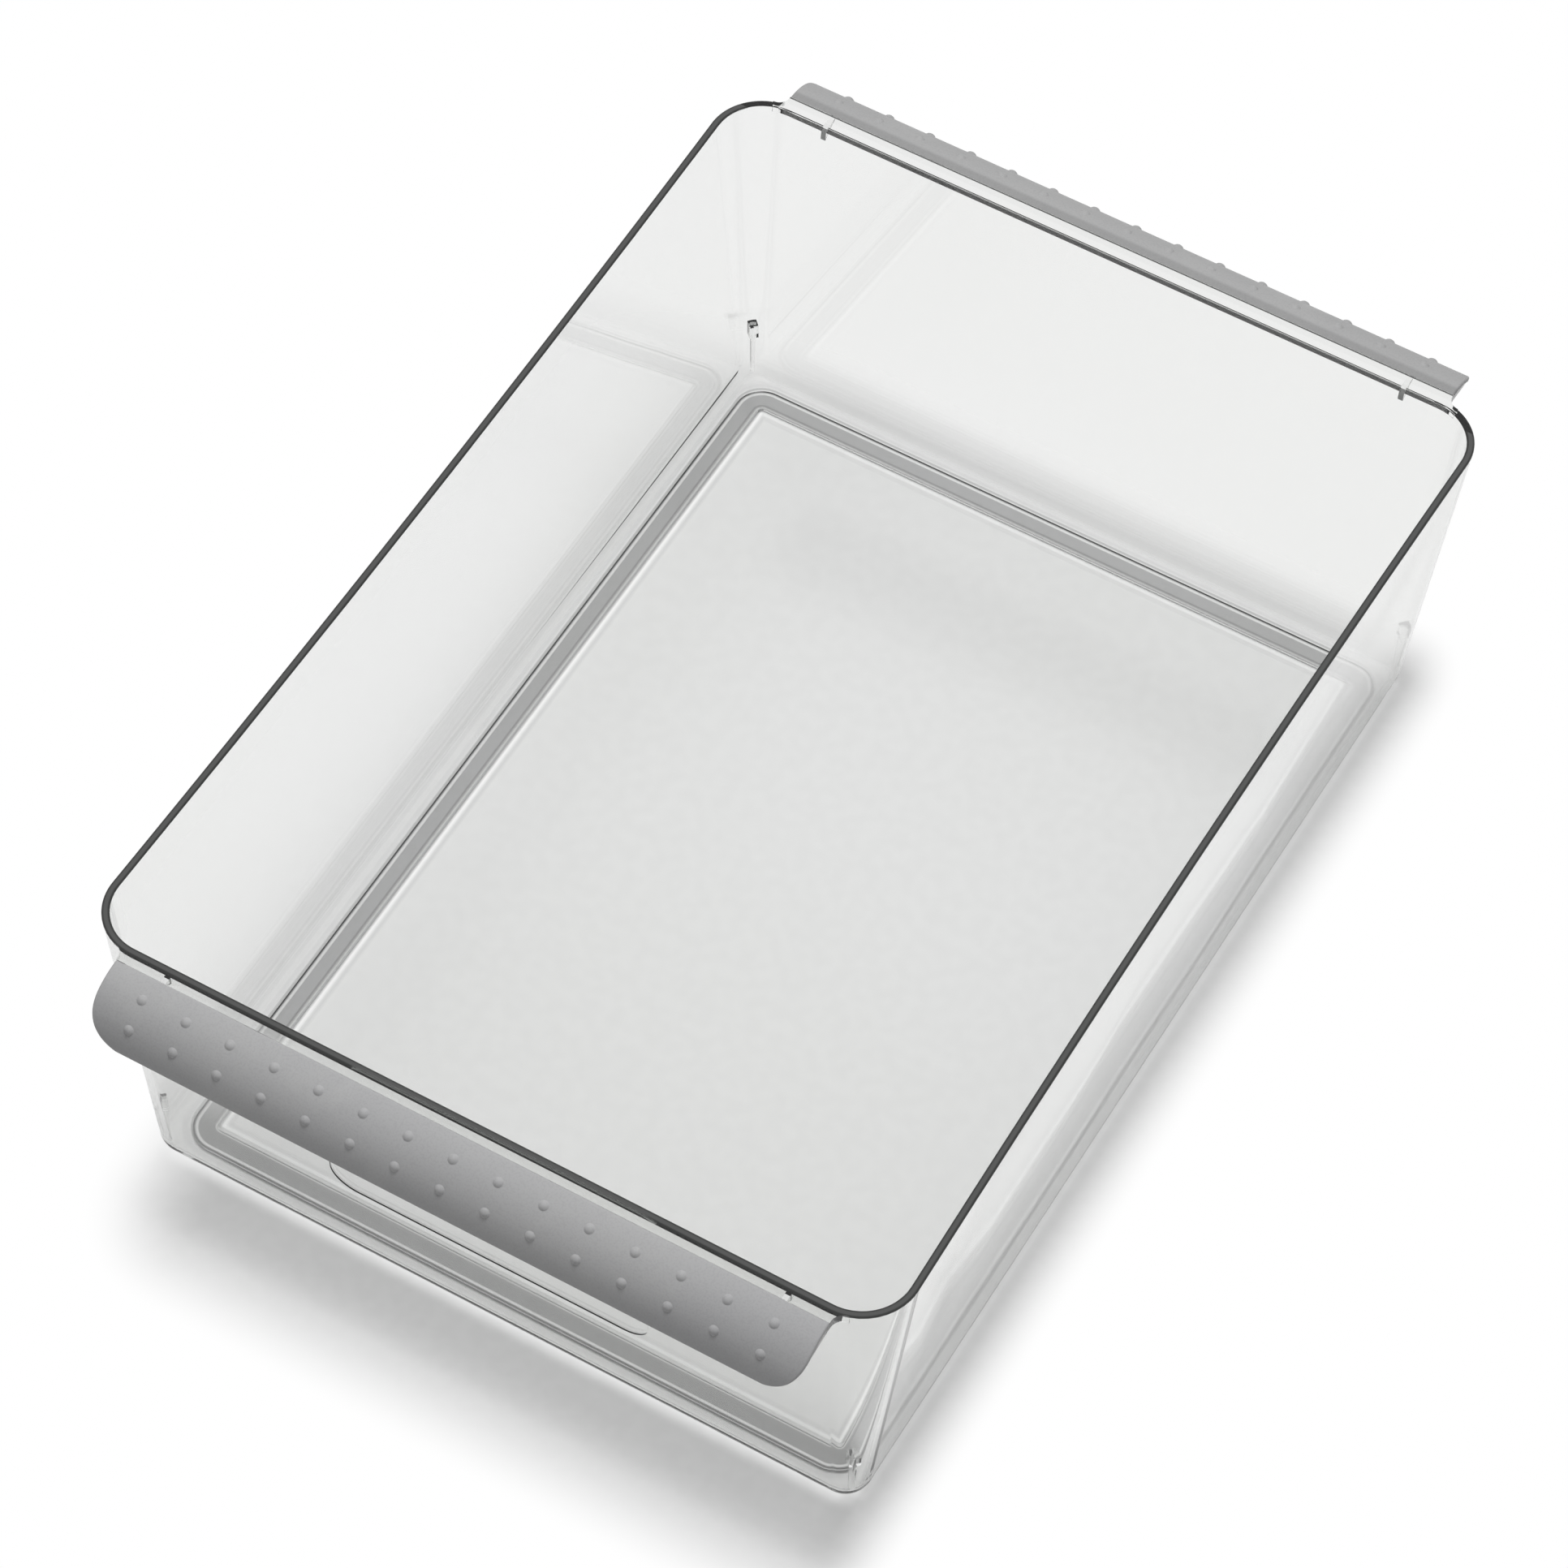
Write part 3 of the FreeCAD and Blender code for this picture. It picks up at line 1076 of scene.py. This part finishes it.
@dataclass
class SoftGrips:
    """Soft cover over each end lip's rolled part, with two rows of nubs."""

    finish: SoftRubber
    length: float = 201.6
    radius: float = 15.8
    thickness: float = 1.1
    sweep: float = math.radians(83.0)
    corner: float = 12.0
    corner_tail: float = 0.353
    corner_steps: int = 20
    rounding: float = 0.5
    rounding_steps: int = 4
    bond: float = 0.08
    bend_y: float = 165.4
    top_z: float = 104.5
    strips: int = 28
    nub: Nub = field(default_factory=Nub)
    nub_columns: int = 15
    nub_pitch: float = 12.75
    nub_rows: tuple[float, float] = (math.radians(23.0), math.radians(53.0))

    def rolled(self, point: Vector) -> Vector:
        """Return where a point of the flat cover lies on the roll."""
        turn = -point.z / self.radius
        reach = self.radius - point.y
        return Vector((point.x, -self.bend_y - reach * math.sin(turn),
                       self.top_z - self.radius + reach * math.cos(turn)))

    def flat_outline(self) -> Workpiece:
        """Model the cover's outline as a flat sheet that stands up, as long as the roll is round.

        Returns:
            The sheet, in edit mode.
        """
        fall = self.radius * (1 - math.cos(self.sweep))
        drop = fall + self.corner_tail
        cover = Workpiece("front_soft_grip", lambda: bpy.ops.mesh.primitive_plane_add(
            size=1, rotation=(math.pi / 2, 0, 0)))
        cover.piece.scale = (self.length, drop, 1)
        cover.piece.location = (0, 0, -drop / 2)
        cover.settle()
        cover.edit()
        cover.pick(Part.POINTS, lambda point: point.z < -drop / 2)
        bpy.ops.mesh.bevel(offset=self.corner, segments=self.corner_steps, affect="VERTICES")
        cover.slice(Vector((0, 0, -fall)), Vector((0, 0, 1)), drop_behind=True)

        def along_roll(point: Vector) -> Vector:
            """Turn a height seen from the front into a length round the roll."""
            share = min(max(1 + point.z / self.radius, -1.0), 1.0)
            way = self.radius * math.acos(share)
            return Vector((point.x, 0, -way if way > self.bond else self.bond))

        cover.move_points(along_roll)
        cover.edit()
        return cover

    def cover(self) -> Workpiece:
        """Model the rolled cover without its nubs.

        Returns:
            The cover, as a closed shell in its place.
        """
        cover = self.flat_outline()
        cover.pick_all()
        cover.lift(Vector((0, self.thickness + self.bond, 0)))
        cover.face_out()
        cover.pick(Part.EDGES, lambda point: abs(point.y) < self.bond / 2)
        bpy.ops.mesh.bevel(offset=self.rounding, segments=self.rounding_steps, affect="EDGES")
        way = self.radius * self.sweep
        for strip in range(1, self.strips):
            cover.slice(Vector((0, 0, -way * strip / self.strips)), Vector((0, 0, 1)))
        cover.move_points(self.rolled)
        cover.edit()
        cover.face_out()
        return cover

    def nubs(self) -> Workpiece:
        """Model one nub and copy it to every place of both rows.

        Returns:
            All the nubs as one piece.
        """
        first = self.nub.build(self.radius)
        start = -(self.nub_columns - 1) / 2 * self.nub_pitch
        places = [(turn, start + column * self.nub_pitch)
                  for turn in self.nub_rows for column in range(self.nub_columns)]
        for number, (turn, x) in enumerate(places):
            if number:
                first.hold()
                bpy.ops.object.duplicate(linked=False)
            nub = bpy.context.active_object if number else first.piece
            seat = self.rolled(Vector((x, 0, -turn * self.radius)))
            nub.location = seat
            nub.rotation_euler = (turn, 0, 0)
        Workpiece.rest()
        for item in bpy.data.objects:
            item.select_set(item.name.startswith("nub"))
        bpy.context.view_layer.objects.active = first.piece
        bpy.ops.object.join()
        first.settle()
        return first

    def build(self) -> list[bpy.types.Object]:
        """Model the front grip, and turn a copy of it half round to the rear.

        Returns:
            The front and the rear grip.
        """
        cover = self.cover()
        cover.unite(self.nubs())
        front = cover.finish(self.finish.material())
        cover.hold()
        bpy.ops.object.duplicate(linked=False)
        rear = bpy.context.active_object
        rear.name = rear.data.name = "rear_soft_grip"
        rear.rotation_euler = (0, 0, math.pi)
        bpy.ops.object.transform_apply(location=True, rotation=True, scale=True)
        declare(front, "front_grip")
        declare(rear, "rear_grip")
        return [front, rear]


@dataclass
class FootRing:
    """Soft ring in the underside's groove; the bin stands on it."""

    finish: SoftRubber
    width: float = 199.0
    length: float = 293.0
    band: float = 6.4
    corner: float = 8.0
    corner_steps: int = 12
    height: float = 1.8
    rounding: float = 0.45
    rounding_steps: int = 3
    flat_below: float = 0.5

    def build(self) -> bpy.types.Object:
        """Model the ring.

        Returns:
            The finished ring.
        """
        ring = Workpiece("soft_foot_ring", lambda: bpy.ops.mesh.primitive_plane_add(size=1))
        ring.piece.scale = (self.width, self.length, 1)
        ring.settle()
        ring.edit()
        ring.pick(Part.POINTS, lambda point: True)
        bpy.ops.mesh.bevel(offset=self.corner, segments=self.corner_steps, affect="VERTICES")
        ring.pick_all()
        bpy.ops.mesh.inset(thickness=self.band)
        bpy.ops.mesh.delete(type="ONLY_FACE")
        ring.pick_all()
        ring.lift(Vector((0, 0, self.height)))
        ring.face_out()
        for level in (0.0, self.height):
            ring.pick(Part.EDGES, lambda point: abs(point.z - level) < self.rounding / 10)
            self.drop_cross_edges(ring)
            bpy.ops.mesh.bevel(offset=self.rounding, segments=self.rounding_steps, affect="EDGES")
        ring.face_out()
        finished = ring.finish(self.finish.material())
        declare(finished, "base_ring")
        return finished

    def drop_cross_edges(self, ring: Workpiece) -> None:
        """Keep only the selected edges where a flat face meets an upright one.

        Args:
            ring: The ring, in edit mode.
        """
        shape = bmesh.from_edit_mesh(ring.piece.data)
        for edge in shape.edges:
            if edge.select and (len(edge.link_faces) != 2
                                or edge.calc_face_angle() < self.flat_below):
                edge.select_set(False)
        bmesh.update_edit_mesh(ring.piece.data)


# ---------------------------------------------------------------- studio


@dataclass(frozen=True)
class SoftBox:
    """One soft lamp, which lights everything but isn't seen in or through the clear plastic."""

    name: str
    place: tuple[float, float, float]
    aim: tuple[float, float, float]
    width: float
    depth: float
    power: float

    def build(self) -> None:
        """Hang the lamp."""
        light = bpy.data.lights.new(self.name, "AREA")
        light.shape = "RECTANGLE"
        light.size = self.width
        light.size_y = self.depth
        light.energy = self.power
        lamp = bpy.data.objects.new(self.name, light)
        bpy.context.scene.collection.objects.link(lamp)
        lamp.location = self.place
        way = Vector(self.aim) - Vector(self.place)
        lamp.rotation_mode = "QUATERNION"
        lamp.rotation_quaternion = way.to_track_quat("-Z", "Y")
        lamp.visible_glossy = False
        lamp.visible_transmission = False
        LOG.info("%s: %.1f W", self.name, self.power)


@dataclass
class Studio:
    """Pale floor, white surround and soft lamps."""

    floor_finish: StudioFloor = field(default_factory=StudioFloor)
    floor_size: float = 12.0
    fill: float = 0.32
    seen_white: float = 1.0
    mirrored_share: float = 0.75
    lamps: tuple[SoftBox, ...] = (
        SoftBox("overhead_soft_box", place=(-0.03, 0.075, 0.90), aim=(-0.03, 0.075, 0.0),
                width=0.50, depth=0.34, power=8.5),
    )

    def build(self) -> None:
        """Lay the floor, set the surround and hang the lamps."""
        self.floor()
        self.surround()
        for lamp in self.lamps:
            lamp.build()

    def floor(self) -> None:
        """Lay the floor under the bin."""
        Workpiece.rest()
        bpy.ops.mesh.primitive_plane_add(size=self.floor_size)
        floor = bpy.context.active_object
        floor.name = "studio_floor"
        floor.data.materials.append(self.floor_finish.material())

    def surround(self) -> None:
        """Light the scene evenly from all round, and show plain white where nothing stands."""
        world = bpy.data.worlds.new("surround")
        world.use_nodes = True
        bpy.context.scene.world = world
        graph = Graph(world.node_tree)
        path = graph.add("LightPath").outputs
        seen = graph.math("MAXIMUM", path["Is Camera Ray"], path["Is Transmission Ray"])
        mirrored = graph.product(path["Is Glossy Ray"], self.mirrored_share)
        seen = graph.math("MAXIMUM", seen, mirrored)
        strength = graph.math("MULTIPLY_ADD", seen, self.seen_white - self.fill, self.fill)
        sky = graph.add("Background", {"Color": opaque(WHITE), "Strength": strength})
        graph.add("OutputWorld", {"Surface": sky.outputs[0]})


@dataclass(frozen=True)
class ProductCamera:
    """Camera over the bin's front right corner, looking down into it.

    The focal length is given in the same unit as the frame's width.
    """

    azimuth: float = math.radians(28.008)
    elevation: float = math.radians(54.194)
    roll: float = math.radians(2.485)
    aim: tuple[float, float, float] = (-0.02244, 0.03152, 0.0)
    distance: float = 1.72096
    film: float = 36.0
    focal_length: float = 7822.68
    frame_width: float = 1932.0

    def build(self) -> None:
        """Set the camera up."""
        back = Vector((math.sin(self.azimuth) * math.cos(self.elevation),
                       -math.cos(self.azimuth) * math.cos(self.elevation),
                       math.sin(self.elevation)))
        level = (-back).cross(Vector((0, 0, 1))).normalized()
        upright = level.cross(-back)
        right = level * math.cos(self.roll) + upright * math.sin(self.roll)
        up = upright * math.cos(self.roll) - level * math.sin(self.roll)
        lens = bpy.data.cameras.new("product_camera")
        lens.sensor_width = self.film
        lens.lens = self.focal_length / self.frame_width * self.film
        camera = bpy.data.objects.new("product_camera", lens)
        bpy.context.scene.collection.objects.link(camera)
        stand = Matrix((right, up, back)).transposed().to_4x4()
        stand.translation = Vector(self.aim) + back * self.distance
        camera.matrix_world = stand
        bpy.context.scene.camera = camera
        bpy.context.scene.view_settings.view_transform = "Standard"
        LOG.info("product_camera: %.0f mm lens", lens.lens)


def main() -> None:
    """Build and dress every sub-assembly, in order."""
    logging.basicConfig(level=logging.INFO, format="%(message)s")
    ClearBody(CLEAR).dress()
    SoftGrips(GRIP_RUBBER).build()
    FootRing(RING_RUBBER).build()
    Studio().build()
    ProductCamera().build()


if __name__ == "__main__":
    main()
